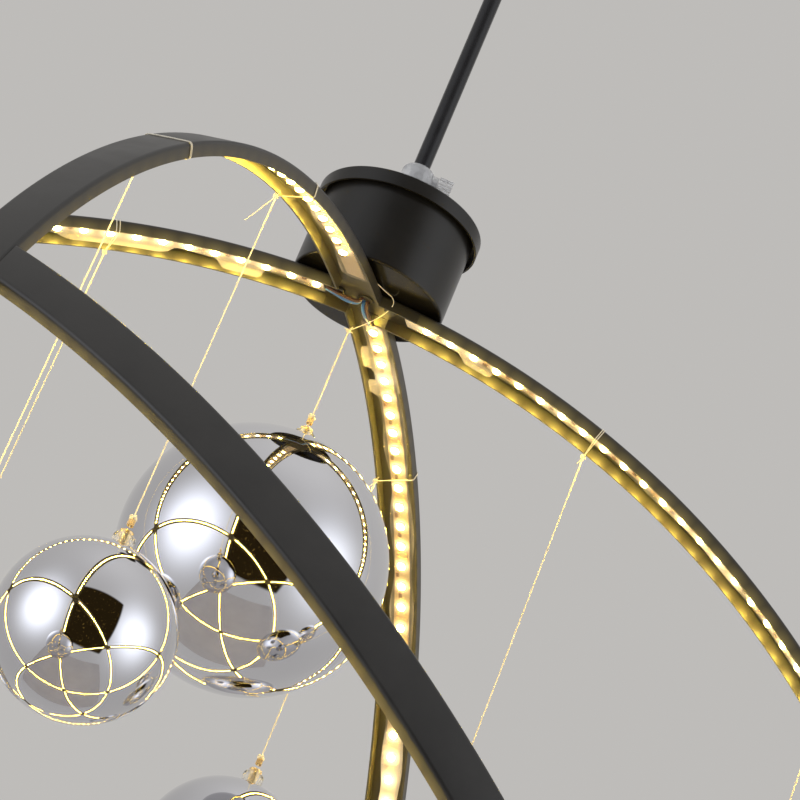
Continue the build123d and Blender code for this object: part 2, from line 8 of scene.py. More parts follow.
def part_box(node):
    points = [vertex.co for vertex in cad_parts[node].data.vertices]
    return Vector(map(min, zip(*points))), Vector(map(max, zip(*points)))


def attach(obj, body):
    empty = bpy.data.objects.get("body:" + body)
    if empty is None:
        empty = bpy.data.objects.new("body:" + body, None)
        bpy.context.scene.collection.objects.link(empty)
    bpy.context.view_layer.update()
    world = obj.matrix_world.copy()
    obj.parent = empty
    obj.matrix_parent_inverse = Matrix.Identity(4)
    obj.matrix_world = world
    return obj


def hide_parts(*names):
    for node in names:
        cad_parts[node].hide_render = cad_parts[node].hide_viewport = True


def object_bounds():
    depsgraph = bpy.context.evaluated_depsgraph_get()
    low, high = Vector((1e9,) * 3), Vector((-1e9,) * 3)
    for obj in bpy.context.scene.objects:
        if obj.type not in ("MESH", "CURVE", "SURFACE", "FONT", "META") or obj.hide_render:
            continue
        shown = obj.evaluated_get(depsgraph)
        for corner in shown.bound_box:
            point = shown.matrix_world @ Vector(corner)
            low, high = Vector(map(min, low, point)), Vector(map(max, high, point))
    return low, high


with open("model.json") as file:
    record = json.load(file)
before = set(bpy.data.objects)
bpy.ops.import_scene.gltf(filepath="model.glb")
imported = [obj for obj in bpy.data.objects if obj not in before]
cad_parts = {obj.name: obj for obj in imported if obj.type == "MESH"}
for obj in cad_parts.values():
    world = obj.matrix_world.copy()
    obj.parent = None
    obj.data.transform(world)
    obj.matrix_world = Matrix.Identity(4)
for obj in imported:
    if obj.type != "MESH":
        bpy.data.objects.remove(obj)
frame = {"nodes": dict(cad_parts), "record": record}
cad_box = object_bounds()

# Looks of the orb chandelier, in metres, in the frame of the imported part.
# Every place comes from the CAD nodes' boxes and from the few sizes below.

# ---- Sizes ------------------------------------------------------------------------------
MM = 0.001
ORB_RADIUS = 500 * MM
CHANNEL_WIDTH = 25 * MM
CHANNEL_DEPTH = 8 * MM
CHANNEL_WALL = 1.2 * MM
CROSS_RING_TURN = 67.5
TILT_TURN = 22.5
TILT = 37.0
STRIP_END_GAP = 12 * MM
TAPE_THICKNESS = 0.8 * MM
TAPE_WIDTH = 10 * MM
SLEEVE_WIDTH = 12.4 * MM
SLEEVE_HEIGHT = 3 * MM
CHANNEL_CORNER = 2.2 * MM
GLUE = 0.05 * MM                    # between the tape and what it lies in
CHIPS_PER_TURN = 204
CHIP_SIZE = 5 * MM                  # square, with a round window
CHIP_HEIGHT = 1.4 * MM
LENS_RADIUS = 2.6 * MM              # clear drop on each chip
LENS_TOP = 2.9 * MM                 # above the tape
CORD_RADIUS = 5 * MM
LINE_RADIUS = 0.4 * MM
KNOT_RADIUS = 1.5 * MM              # knot at the channel
BEAD_RADIUS = 2.5 * MM              # knot at the ball
BALL_COUNT = 8

low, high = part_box("ring_main")
ORB = Vector((0, 0, (low.z + high.z) / 2))
INNER_RADIUS = ORB_RADIUS - CHANNEL_DEPTH
BASE_RADIUS = ORB_RADIUS - CHANNEL_WALL
TAPE_FOOT = BASE_RADIUS - GLUE
TAPE_TOP = TAPE_FOOT - TAPE_THICKNESS      # face of the tape, towards the middle
CHIP_STEP = 2 * math.pi / CHIPS_PER_TURN

nodes = frame["nodes"]


# ---- Rings: the same frames as in the part ------------------------------------------------
class Ring:
    """Axis of one ring, its highest direction and the level direction across it."""

    def __init__(self, normal, top):
        self.normal = normal.normalized()
        self.top = top.normalized()
        self.across = self.top.cross(self.normal)

    def outward(self, angle):
        return self.top * math.cos(angle) + self.across * math.sin(angle)

    def tangent(self, angle):
        return self.across * math.cos(angle) - self.top * math.sin(angle)

    def point(self, angle, radius, side):
        return ORB + self.outward(angle) * radius + self.normal * side


def level(turn):
    return Vector((math.cos(math.radians(turn)), math.sin(math.radians(turn)), 0))


def leaning_ring(turn):
    lean, tilt = level(turn), math.radians(TILT)
    normal = lean * math.sin(tilt) + Vector((0, 0, math.cos(tilt)))
    top = lean * -math.cos(tilt) + Vector((0, 0, math.sin(tilt)))
    return Ring(normal, top)


RINGS = {
    "main": Ring(Vector((0, -1, 0)), Vector((0, 0, 1))),
    "cross": Ring(level(CROSS_RING_TURN - 90), Vector((0, 0, 1))),
    "left_leaning": leaning_ring(TILT_TURN),
    "right_leaning": leaning_ring(TILT_TURN + 180),
}
# Degrees from the ring's top to its first chip, on the falling and on the rising side.
FIRST_CHIP = {
    "main": (3.4, 4.65),
    "cross": (6.65, 3.6),
    "left_leaning": (0.9, 0.9),
    "right_leaning": (0.9, 0.9),
}


# ---- Camera: the photograph's place and lens ------------------------------------------------
CAMERA_PLACE = Vector((0, -2.04493, -1.42708))
CAMERA_RIGHT = Vector((0.92017, -0.18847, 0.34316))
CAMERA_UP = Vector((-0.39111, -0.40258, 0.82763))
CAMERA_FORWARD = Vector((0.01783, 0.89577, 0.44416))
LENS = 179.69

camera_data = bpy.data.cameras.new("photo_camera")
camera_data.lens = LENS
camera_data.sensor_width = 36.0
camera_data.clip_end = 60.0
camera = bpy.data.objects.new("photo_camera", camera_data)
bpy.context.scene.collection.objects.link(camera)
camera.matrix_world = Matrix((
    (CAMERA_RIGHT.x, CAMERA_UP.x, -CAMERA_FORWARD.x, CAMERA_PLACE.x),
    (CAMERA_RIGHT.y, CAMERA_UP.y, -CAMERA_FORWARD.y, CAMERA_PLACE.y),
    (CAMERA_RIGHT.z, CAMERA_UP.z, -CAMERA_FORWARD.z, CAMERA_PLACE.z),
    (0, 0, 0, 1),
))
bpy.context.scene.camera = camera


# ---- Materials ------------------------------------------------------------------------------
class NodeTree:
    """Short ways to add nodes to one tree; place is the coordinate that its nodes work on."""

    def __init__(self, tree, coordinate):
        self.tree = tree
        self.place = self.add("ShaderNodeTexCoord").outputs[coordinate]

    def add(self, kind, **values):
        node = self.tree.nodes.new(kind)
        for key, value in values.items():
            setattr(node, key, value)
        return node

    def link(self, source, target):
        self.tree.links.new(source, target)

    def fill(self, socket, value):
        """Links another node's output to the socket, or sets the socket to a plain value."""
        if isinstance(value, bpy.types.NodeSocket):
            self.link(value, socket)
        else:
            socket.default_value = value

    def math(self, operation, *inputs):
        """One Math node; each input is another node's output or a number."""
        node = self.add("ShaderNodeMath", operation=operation)
        for socket, value in zip(node.inputs, inputs):
            self.fill(socket, value)
        return node.outputs[0]

    def vector_math(self, operation, first, second):
        node = self.add("ShaderNodeVectorMath", operation=operation)
        self.link(first, node.inputs[0])
        node.inputs[1].default_value = second
        return node.outputs["Value" if operation == "DOT_PRODUCT" else "Vector"]

    def noise(self, scale, detail=3.0, roughness=0.55):
        node = self.add("ShaderNodeTexNoise")
        node.inputs["Scale"].default_value = scale
        node.inputs["Detail"].default_value = detail
        node.inputs["Roughness"].default_value = roughness
        self.link(self.place, node.inputs["Vector"])
        return node.outputs["Fac"]

    def ramp(self, value, *stops):
        """Colour between two stops, each a place and a colour."""
        node = self.add("ShaderNodeValToRGB")
        for element, (place, color) in zip(node.color_ramp.elements, stops):
            element.position = place
            element.color = (*color, 1.0)
        self.link(value, node.inputs["Fac"])
        return node.outputs["Color"]

    def spread(self, value, low_value, high_value, low_at=0.3, high_at=0.7, curve="LINEAR"):
        """Low_value up to low_at, high_value from high_at on, and a slope between."""
        node = self.add("ShaderNodeMapRange", interpolation_type=curve)
        for key, number in zip(("From Min", "From Max", "To Min", "To Max"),
                               (low_at, high_at, low_value, high_value)):
            node.inputs[key].default_value = number
        self.link(value, node.inputs["Value"])
        return node.outputs["Result"]


class Finish(NodeTree):
    """A Principled material with its own small node tree."""

    def __init__(self, name, color, roughness, **sockets):
        self.material = bpy.data.materials.new(name)
        self.material.use_nodes = True
        super().__init__(self.material.node_tree, "Object")
        self.shader = self.tree.nodes["Principled BSDF"]
        self.set(Base_Color=(*color, 1.0), Roughness=roughness, **sockets)

    def set(self, **sockets):
        """Shader sockets, named with _ for a space, get values or other nodes' outputs."""
        for name, value in sockets.items():
            self.fill(self.shader.inputs[name.replace("_", " ")], value)

    def along(self, direction):
        """Distance of the surface from the orb's middle along a direction."""
        return self.vector_math("DOT_PRODUCT", self.vector_math("SUBTRACT", self.place, ORB),
                                direction)

    def bump(self, scale, strength, depth, detail=2.0):
        node = self.add("ShaderNodeBump")
        node.inputs["Strength"].default_value = strength
        node.inputs["Distance"].default_value = depth
        self.link(self.noise(scale, detail), node.inputs["Height"])
        self.set(Normal=node.outputs["Normal"])

    def vary(self, value, dark, light, roughness=None):
        """Colour, and with it roughness, vary over the surface between two values."""
        self.set(Base_Color=self.ramp(value, (0.3, dark), (0.7, light)))
        if roughness:
            self.set(Roughness=self.spread(value, *roughness))

    def glow(self, color, strength):
        """Light that shows on the surface but isn't sampled as a lamp."""
        self.set(Emission_Color=color, Emission_Strength=strength)
        self.material.cycles.emission_sampling = "NONE"

    def chip_glow(self, name, reach):
        """Falls from 1 at each chip of one ring's tape to 0, over about the given distance."""
        ring, (falling, rising) = RINGS[name], FIRST_CHIP[name]
        turn = self.math("ARCTAN2", self.along(ring.across), self.along(ring.top))
        on_rising = self.math("GREATER_THAN", turn, 0.0)
        first = self.math("MULTIPLY_ADD", on_rising, math.radians(rising - falling),
                          math.radians(falling))
        from_first = self.math("SUBTRACT", self.math("ABSOLUTE", turn), first)
        steps = self.math("MULTIPLY_ADD", from_first, 1 / CHIP_STEP, 0.5)
        off_chip = self.math("MULTIPLY", self.math("SUBTRACT", self.math("FRACT", steps), 0.5),
                             CHIP_STEP * TAPE_TOP / reach)
        off_middle = self.math("MULTIPLY", self.along(ring.normal), 1 / reach)
        distance = self.math("MULTIPLY_ADD", off_chip, off_chip,
                             self.math("MULTIPLY", off_middle, off_middle))
        has_chips = self.math("GREATER_THAN", steps, 0.0)
        return self.math("MULTIPLY", has_chips,
                         self.math("EXPONENT", self.math("MULTIPLY", distance, -1.0)))


def plain(name, dark, light, roughness, grain=500.0, **sockets):
    finish = Finish(name, dark, roughness[0], **sockets)
    finish.vary(finish.noise(grain / 8, 4.0), dark, light, roughness)
    finish.bump(grain, 0.15, 0.1 * MM)
    return finish


def painted(name, dark, light, roughness, gloss):
    """Satin powder coat: a fine orange-peel skin with slightly uneven gloss."""
    finish = Finish(name, dark, roughness[0], Specular_IOR_Level=gloss)
    finish.vary(finish.noise(38.0, 5.0), dark, light, roughness)
    finish.bump(900.0, 0.12, 0.08 * MM)
    return finish


def clear(name, color, roughness, passing, ior, grain, strength, depth):
    """Clear plastic or glass with a faintly wavy skin; passing is its share of clear light."""
    finish = Finish(name, color, roughness, Transmission_Weight=passing, IOR=ior)
    finish.bump(grain, strength, depth)
    return finish


# Painted glow of the chips' light on each ring's channel walls: its strength per ring, its reach
# round each chip, and its even share.
WALL_GLOW = {"main": 1.1, "cross": 0.3, "left_leaning": 0.85, "right_leaning": 0.85}
WALL_GLOW_REACH = 8.5 * MM
EVEN_WALL_GLOW = 0.014                   # share that doesn't follow the chips


def ring_paint(name):
    """Powder coat of one ring, with its chips' warm light painted on the channel walls beside them as
    glow.
    """
    finish = painted(f"ring_paint_{name}", (0.020, 0.019, 0.018), (0.031, 0.029, 0.027),
                     (0.34, 0.44), gloss=0.44)
    ring = RINGS[name]
    up, over = finish.along(ring.top), finish.along(ring.across)
    radius = finish.math("SQRT", finish.math("MULTIPLY_ADD", up, up,
                                             finish.math("MULTIPLY", over, over)))
    depth = finish.spread(radius, 1.0, 0.0, INNER_RADIUS, BASE_RADIUS)
    painted_glow = finish.math("MULTIPLY", finish.chip_glow(name, WALL_GLOW_REACH), depth)
    even = finish.math("MULTIPLY", depth, EVEN_WALL_GLOW * WALL_GLOW[name])
    # Painted light: a warm gold glow, strongest deep in the channel and by each chip.
    finish.glow((1.0, 0.76, 0.22, 1.0), finish.math("MULTIPLY_ADD", painted_glow, WALL_GLOW[name], even))
    return finish


FILM_GLOW_REACH = 4.4 * MM
FILM_THIN, FILM_THICK = 0.08, 0.46  # opacity where it is thinnest, and what thick glue adds


def clear_silicone(name):
    """Glue film over the tape: nearly clear where it is thin and less clear where it is thick, with
    the chips' light painted on it as glow.
    """
    finish = Finish(f"clear_silicone_{name}", (0.50, 0.47, 0.46), 0.16, Specular_IOR_Level=0.6)
    across = finish.math("ABSOLUTE", finish.along(RINGS[name].normal))
    thick = finish.math("MAXIMUM", finish.spread(finish.noise(14.0, 2.0), 0.0, 1.0, 0.47, 0.60),
                        finish.spread(across, 0.0, 0.75, 6.6 * MM, 8.6 * MM))
    glow = finish.chip_glow(name, FILM_GLOW_REACH)
    finish.set(Alpha=finish.math("MULTIPLY_ADD", thick, FILM_THICK, FILM_THIN))
    # Painted light: the chips' warm glow in the film, faint everywhere and brightest at each chip.
    finish.glow(finish.ramp(glow, (0.0, (1.0, 0.80, 0.52)), (0.7, (1.0, 0.90, 0.62))),
                finish.math("MULTIPLY_ADD", glow, 1.5, 0.34))
    finish.bump(160.0, 0.35, 0.4 * MM, 3.0)
    return finish


TAPE_GLOW_REACH = 3.4 * MM


def tape_material(name):
    """White solder mask with a dark warm base colour, and its own chips' light painted on it as glow,
    faint everywhere and brightest at each chip.
    """
    finish = Finish(f"led_tape_{name}", (0.16, 0.11, 0.055), 0.45)
    finish.vary(finish.noise(220.0, 4.0), (0.10, 0.065, 0.030), (0.17, 0.12, 0.065), (0.38, 0.5))
    glow = finish.chip_glow(name, TAPE_GLOW_REACH)
    # Painted light: the chips' glow on the tape.
    finish.glow(finish.ramp(glow, (0.0, (1.0, 0.70, 0.40)), (0.5, (1.0, 0.86, 0.50))),
                finish.math("MULTIPLY_ADD", glow, 2.6, 0.16))
    finish.bump(700.0, 0.2, 0.1 * MM)
    return finish


def mirror_glass():
    """Smoke mirror coating seen through glass, with faint uneven silvering."""
    finish = Finish("mirror_glass", (0.60, 0.60, 0.62), 0.03, Metallic=1.0, Coat_Weight=0.5,
                    Coat_Roughness=0.02)
    finish.vary(finish.noise(9.0), (0.60, 0.60, 0.635), (0.71, 0.71, 0.74), (0.02, 0.045))
    return finish


def nylon_line():
    # Its faint warm emission is painted glow: the chips' light caught in the line.
    finish = Finish("nylon_line", (0.95, 0.86, 0.62), 0.30,
                    Emission_Color=(1.0, 0.88, 0.66, 1.0), Emission_Strength=0.10)
    finish.vary(finish.noise(400.0, 2.0), (0.58, 0.54, 0.43), (0.76, 0.73, 0.64), (0.25, 0.4))
    return finish


CHIP_POWER = 215.0


def chip_light():
    finish = Finish("chip_light", (1.0, 0.90, 0.60), 0.4, Emission_Strength=CHIP_POWER)
    finish.set(Emission_Color=finish.ramp(finish.noise(300.0, 1.0), (0.35, (1.0, 0.63, 0.055)),
                                          (0.7, (1.0, 0.70, 0.085))))
    return finish


FINISHES = {
    "black_paint": painted("housing_paint", (0.007, 0.0066, 0.0062), (0.012, 0.0113, 0.0105),
                           (0.27, 0.35), gloss=0.34),
    "zinc_steel": plain("zinc_steel", (0.48, 0.49, 0.52), (0.66, 0.66, 0.68), (0.28, 0.45),
                        Metallic=1.0),
    "dark_steel": plain("dark_steel", (0.05, 0.05, 0.055), (0.10, 0.10, 0.10), (0.30, 0.45),
                        Metallic=1.0),
    "black_plastic": plain("black_plastic", (0.018, 0.018, 0.019), (0.030, 0.030, 0.031),
                           (0.42, 0.55)),
    "white_plastic": plain("white_plastic", (0.70, 0.70, 0.67), (0.82, 0.82, 0.79),
                           (0.40, 0.52)),
    "black_rubber": plain("black_rubber", (0.014, 0.014, 0.015), (0.024, 0.024, 0.025),
                          (0.60, 0.75)),
    "foam_pad": plain("foam_pad", (0.10, 0.10, 0.10), (0.18, 0.18, 0.18), (0.85, 0.95),
                      grain=1200.0),
    "cord_sheath": plain("cord_sheath", (0.008, 0.008, 0.010), (0.014, 0.014, 0.017),
                         (0.26, 0.36), Specular_IOR_Level=0.35),
    "blue_sheath": plain("blue_sheath", (0.030, 0.120, 0.46), (0.052, 0.175, 0.60),
                         (0.28, 0.40)),
    "brown_sheath": plain("brown_sheath", (0.052, 0.026, 0.030), (0.085, 0.046, 0.050),
                          (0.28, 0.40)),
    "gold_plug": plain("gold_plug", (0.66, 0.50, 0.26), (0.84, 0.70, 0.44), (0.20, 0.34),
                       Metallic=0.7),
    "clear_plastic": clear("clear_plastic", (0.96, 0.96, 0.97), 0.06, passing=0.62, ior=1.49,
                           grain=240.0, strength=0.8, depth=1.2 * MM),
}
RING_PAINTS_AND_GLOWS = {name: ring_paint(name) for name in RINGS}
TAPES = {name: tape_material(name) for name in RINGS}
FILMS = {name: clear_silicone(name) for name in RINGS}
FINISHES.update(ring_paint=RING_PAINTS_AND_GLOWS["main"], clear_silicone=FILMS["main"], led_tape=TAPES["main"],
                mirror_glass=mirror_glass(), nylon_line=nylon_line())
CLEAR_GLASS = clear("clear_glass", (0.98, 0.98, 0.97), 0.02, passing=0.9, ior=1.52,
                    grain=260.0, strength=0.7, depth=0.8 * MM)
CHIP_LIGHT = chip_light()
CHIP_BODY = plain("chip_body", (0.80, 0.76, 0.62), (0.90, 0.87, 0.75), (0.35, 0.5))
NECK_THREAD = plain("neck_thread", (0.42, 0.31, 0.18), (0.60, 0.48, 0.31), (0.35, 0.5))
RESISTOR = plain("resistor", (0.05, 0.025, 0.02), (0.16, 0.07, 0.05), (0.35, 0.5))
COPPER_PAD = plain("copper_pad", (0.55, 0.30, 0.14), (0.75, 0.48, 0.25), (0.30, 0.45),
                   Metallic=1.0)

for subpart in frame["record"]["subparts"]:
    node = nodes[subpart["node"]]
    node.data.materials.clear()
    node.data.materials.append(FINISHES[subpart["material_slot"]].material)


def refinish(node, finish, chosen):
    """Gives the faces that chosen picks a second finish."""
    node.data.materials.append(finish.material)
    for face in node.data.polygons:
        if chosen(face):
            face.material_index = 1


# The cup's floor, close to the lights, is the smoothest of its faces and painted darkest, as painted
# shade.
shaded_cup_floor = painted("shaded_cup_floor", (0.0035, 0.0032, 0.0028), (0.006, 0.0055, 0.005),
                    (0.15, 0.21), gloss=0.26)
refinish(nodes["housing_cup"], shaded_cup_floor, lambda face: face.normal.z < -0.9)

# The balls are silvered inside; their necks stay clear.
NECK_RADIUS = 6.2 * MM
NECK_MARGIN = 0.2 * MM
for count in range(1, BALL_COUNT + 1):
    ball = nodes[f"glass_ball_{count}"]
    lowest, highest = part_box(ball.name)
    ball_radius = (highest.x - lowest.x) / 2
    neck_base = (lowest.z + ball_radius + math.sqrt(ball_radius ** 2 - NECK_RADIUS ** 2)
                 + NECK_MARGIN)
    refinish(ball, CLEAR_GLASS, lambda face: face.center.z > neck_base)


# ---- Small builders -------------------------------------------------------------------------
def add_piece(data, body, slot_name, *finishes):
    """A piece of the scene, named as its data, that moves with a body."""
    piece = bpy.data.objects.new(data.name, data)
    bpy.context.scene.collection.objects.link(piece)
    for finish in finishes:
        data.materials.append(finish.material)
    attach(piece, body)
    return piece


def new_curve(name, radius, round_steps=4, run_steps=12):
    """A curve whose splines become round tubes with closed ends."""
    data = bpy.data.curves.new(name, "CURVE")
    data.dimensions = "3D"
    data.bevel_depth = radius
    data.bevel_resolution = round_steps
    data.resolution_u = run_steps
    data.use_fill_caps = True
    return data


def add_spline(data, points, closed=False):
    """A smooth run near the control points; an open one ends on its first and last."""
    spline = data.splines.new("NURBS")
    spline.points.add(len(points) - 1)
    for target, place in zip(spline.points, points):
        target.co = (*place, 1.0)
    spline.order_u = 3
    spline.use_cyclic_u = closed
    spline.use_endpoint_u = not closed


def tube(name, points, radius, closed=False):
    data = new_curve(name, radius)
    add_spline(data, points, closed)
    return data


def straight(start, end):
    """Control points of a taut cord."""
    return [start.lerp(end, share) for share in (0, 0.33, 0.67, 1)]


class Mesher:
    """Collects solids into one mesh: blocks and sweeps in its first material, domes in the
    second."""

    def __init__(self):
        self.points, self.faces, self.indices = [], [], []

    def face(self, corners, index=0):
        self.faces.append(list(corners))
        self.indices.append(index)

    def block(self, origin, x, y, z, taper):
        """A block on origin: half sizes along x and y, full height along z; its top may taper."""
        start = len(self.points)
        for height, share in ((0, 1.0), (1, taper)):
            for sx, sy in ((-1, -1), (1, -1), (1, 1), (-1, 1)):
                self.points.append(origin + x * sx * share + y * sy * share + z * height)
        for quad in ((0, 3, 2, 1), (0, 1, 5, 4), (1, 2, 6, 5), (2, 3, 7, 6), (3, 0, 4, 7),
                     (4, 5, 6, 7)):
            self.face(start + k for k in quad)

    def dome(self, origin, x, y, z, sides, rings):
        """A flat-bottomed dome with an oval plan."""
        start = len(self.points)
        for k in range(rings):
            lift = math.pi / 2 * k / rings
            for s in range(sides):
                turn = 2 * math.pi * s / sides
                flat = x * math.cos(turn) + y * math.sin(turn)
                self.points.append(origin + flat * math.cos(lift) + z * math.sin(lift))
        self.points.append(origin + z)
        for k in range(rings - 1):
            for s in range(sides):
                a, b = start + k * sides + s, start + k * sides + (s + 1) % sides
                self.face((a, b, b + sides, a + sides), 1)
        last = start + (rings - 1) * sides
        for s in range(sides):
            self.face((last + s, last + (s + 1) % sides, start + rings * sides), 1)
        self.face((start + s for s in reversed(range(sides))), 1)

    def sweep(self, ring, section, start, end, steps):
        """A closed section carried round a ring. section(share) gives (radius, side) pairs, and
        start and end give the angle at which each of them begins and ends."""
        first = len(self.points)
        for step in range(steps + 1):
            share = step / steps
            for radius, side in section(share):
                angle = start(radius, side) * (1 - share) + end(radius, side) * share
                self.points.append(ring.point(angle, radius, side))
        count = len(section(0))
        for step in range(steps):
            for k in range(count):
                a, b = first + step * count + k, first + step * count + (k + 1) % count
                self.face((a, b, b + count, a + count))
        self.face(first + k for k in reversed(range(count)))
        self.face(first + steps * count + k for k in range(count))

    def mesh(self, name, sharp=None):
        """The mesh, flat or else smooth up to an angle in degrees."""
        data = bpy.data.meshes.new(name)
        data.from_pydata([tuple(p) for p in self.points], [], self.faces)
        for face, index in zip(data.polygons, self.indices):
            face.material_index = index
            face.use_smooth = sharp is not None
        if sharp is not None:
            data.set_sharp_from_angle(angle=math.radians(sharp))
        data.update()
        return data


# ---- Cords: the power cord and the eight ball lines -------------------------------------------
cord_low, cord_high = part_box("power_cord")
cord_exit = Vector((0, 0, cord_high.z - CORD_RADIUS))
cord_end = Vector((0, 0, cord_low.z))
power_cord = add_piece(tube("hanging_cord", straight(cord_exit, cord_end), CORD_RADIUS),
                       "orb", "cord_sheath", FINISHES["cord_sheath"])
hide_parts("power_cord")

LOWER_KNOT_SIZE = 0.75 * BEAD_RADIUS
LOWER_KNOT_THREAD = 1.6 * LINE_RADIUS
BEAD_LIFT = 5.6 * MM                # the lower knot sits above the wound thread on the neck
WRAP_THREAD = 1.3 * LINE_RADIUS
WRAP_RADIUS = 1.5 * MM
WRAP_FOOT = 0.6 * MM
WRAP_SHORTER = 2.2 * MM             # than the lift of the knot above it
WRAP_TURNS = 4
KNOT_STEPS = 24
WRAP_STEPS = 10                     # a turn


def knot_points(middle, size):
    """A tight overhand knot, as a closed trefoil."""
    points = []
    for k in range(KNOT_STEPS):
        t = 2 * math.pi * k / KNOT_STEPS
        points.append(middle + Vector((
            (math.sin(t) + 2 * math.sin(2 * t)) / 3,
            (math.cos(t) - 2 * math.cos(2 * t)) / 3,
            -math.sin(3 * t) * 0.55,
        )) * size)
    return points


def wound_thread(foot, height):
    """A few close turns of the line round itself."""
    count, points = WRAP_TURNS * WRAP_STEPS, []
    for k in range(count + 1):
        turn = 2 * math.pi * k / WRAP_STEPS
        points.append(foot + Vector((WRAP_RADIUS * math.cos(turn), WRAP_RADIUS * math.sin(turn),
                                     height * k / count)))
    return points


def add_thread(kind, count, points, radius, finish=FINISHES["nylon_line"], closed=False):
    """One piece of a ball's line."""
    return add_piece(tube(f"{kind}_{count}", points, radius, closed), f"line_{count}",
                     "nylon_line", finish)


line_tops = {}
for count in range(1, BALL_COUNT + 1):
    lowest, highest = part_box(f"ball_line_{count}")
    x, y = (lowest.x + highest.x) / 2, (lowest.y + highest.y) / 2
    top = Vector((x, y, highest.z - KNOT_RADIUS))
    bottom = Vector((x, y, lowest.z + BEAD_RADIUS))
    line_tops[count] = top
    line = add_thread("clear_line", count, straight(top, bottom), LINE_RADIUS)
    upper = add_thread("upper_knot", count, knot_points(top, KNOT_RADIUS), LINE_RADIUS,
                       closed=True)
    bead = knot_points(bottom + Vector((0, 0, BEAD_LIFT)), LOWER_KNOT_SIZE)
    lower = add_thread("lower_knot", count, bead, LOWER_KNOT_THREAD, closed=True)
    turns = wound_thread(bottom + Vector((0, 0, WRAP_FOOT)), BEAD_LIFT - WRAP_SHORTER)
    wrap = add_thread("neck_wrap", count, turns, WRAP_THREAD, NECK_THREAD)
    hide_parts(f"ball_line_{count}")


# ---- Ties: two turns of thread round the channel at each line, with their free ends -------------
# For each line: its ring, how far along the ring the thread slants on the far wall, and the free
# end's reach to the camera's right and up, all in millimetres. The line by the hub, the fourth, is
# tied otherwise.
HUB_TIE = 4
TIES = {
    1: ("cross", 1.5, (-3, 2)),
    2: ("main", 4.5, (-9, -19)),
    3: ("cross", -8.0, (-17, -13)),
    5: ("main", 1.0, (-4, -4)),
    6: ("cross", -6.5, (-6, -5)),
    7: ("main", 3.0, (4, -5)),
    8: ("cross", 2.0, (-5, -4)),
}
TIE_TURNS = ((-0.45 * MM, 0.9), (0.55 * MM, 1.12))  # shift along the ring, share of the slant
TIE_RADIUS = 0.27 * MM
TIE_STUB = 2.2 * MM                 # the other end, cut short
SKIN = 0.40 * MM                    # thread's middle above the channel's faces


def tie_turn(ring, angle, side, slant, shift, knot):
    """Control points of one turn, from the knot round the channel and back over its open side."""
    wall, back = CHANNEL_WIDTH / 2 + SKIN, ORB_RADIUS + SKIN
    route = [                       # share of the slant, side, radius
        (0.00, wall, INNER_RADIUS - SKIN),
        (0.05, wall, INNER_RADIUS + 3 * MM),
        (0.15, wall - 0.15 * MM, back - 0.2 * MM),
        (0.30, wall * 0.7, back),
        (0.55, 0, back + 0.1 * MM),
        (0.80, -wall * 0.7, back),
        (0.92, -wall + 0.15 * MM, back - 0.2 * MM),
        (1.00, -wall, INNER_RADIUS + 3 * MM),
        (1.00, -wall, INNER_RADIUS - 1.5 * SKIN),
        (0.80, -wall * 0.5, INNER_RADIUS - 1.5 * SKIN),
    ]
    points = [knot]
    for share, across, radius in route:
        slide = (slant * share * MM + shift) / ORB_RADIUS
        points.append(ring.point(angle + slide, radius, side * across))
    return points + [knot]


def on_picture(right, up):
    """A short step to the camera's right and up, in millimetres."""
    return (CAMERA_RIGHT * right + CAMERA_UP * up) * MM


def add_hub_tie(data):
    """The line by the hub goes over the main ring's edge and back under the housing."""
    knot, edge, back = line_tops[HUB_TIE], CHANNEL_WIDTH / 2 + SKIN, ORB_RADIUS + SKIN
    near = knot.lerp(RINGS["main"].point(math.radians(2.1), INNER_RADIUS, edge), 0.6)
    route = [                       # ring, degrees from its top, radius, side
        ("main", 1.9, INNER_RADIUS + 2 * MM, edge + 0.6 * MM),
        ("main", 1.75, ORB_RADIUS - 0.5 * MM, edge + 0.6 * MM),
        ("main", 1.1, back - 0.5 * MM, edge + 3.5 * MM),
        ("cross", -1.8, back - 0.8 * MM, edge + 0.5 * MM),
        ("cross", -2.6, ORB_RADIUS - 2 * MM, edge),
    ]
    add_spline(data, [knot, near - Vector((0, 0, 0.8 * MM))]
               + [RINGS[name].point(math.radians(degrees), radius, side)
                  for name, degrees, radius, side in route])
    for right, up in ((2.5, 2.0), (-2.6, 1.5), (-1.5, -2.8), (2.2, -1.6)):
        add_spline(data, [knot, knot + on_picture(right * 0.5, up * 0.5 + 0.4),
                          knot + on_picture(right, up)])


def build_ties():
    data = new_curve("tie_loops", TIE_RADIUS, round_steps=3, run_steps=8)
    for count, (name, slant, free_end) in TIES.items():
        ring, knot = RINGS[name], line_tops[count]
        offset = knot - ORB
        angle = math.atan2(offset.dot(ring.across), offset.dot(ring.top))
        side = math.copysign(1, offset.dot(ring.normal))
        for shift, share in TIE_TURNS:
            add_spline(data, tie_turn(ring, angle, side, slant * share, shift, knot))
        tip = knot + on_picture(*free_end)
        bend = knot.lerp(tip, 0.5) + Vector((0, 0, -0.8 * MM))
        add_spline(data, [knot, bend, tip])
        other_end = knot - (tip - knot).normalized() * TIE_STUB + Vector((0, 0, 1.2 * MM))
        add_spline(data, [knot, other_end])
    add_hub_tie(data)
    ties = add_piece(data, "orb", "nylon_line", FINISHES["nylon_line"])
    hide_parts("line_loops")


build_ties()


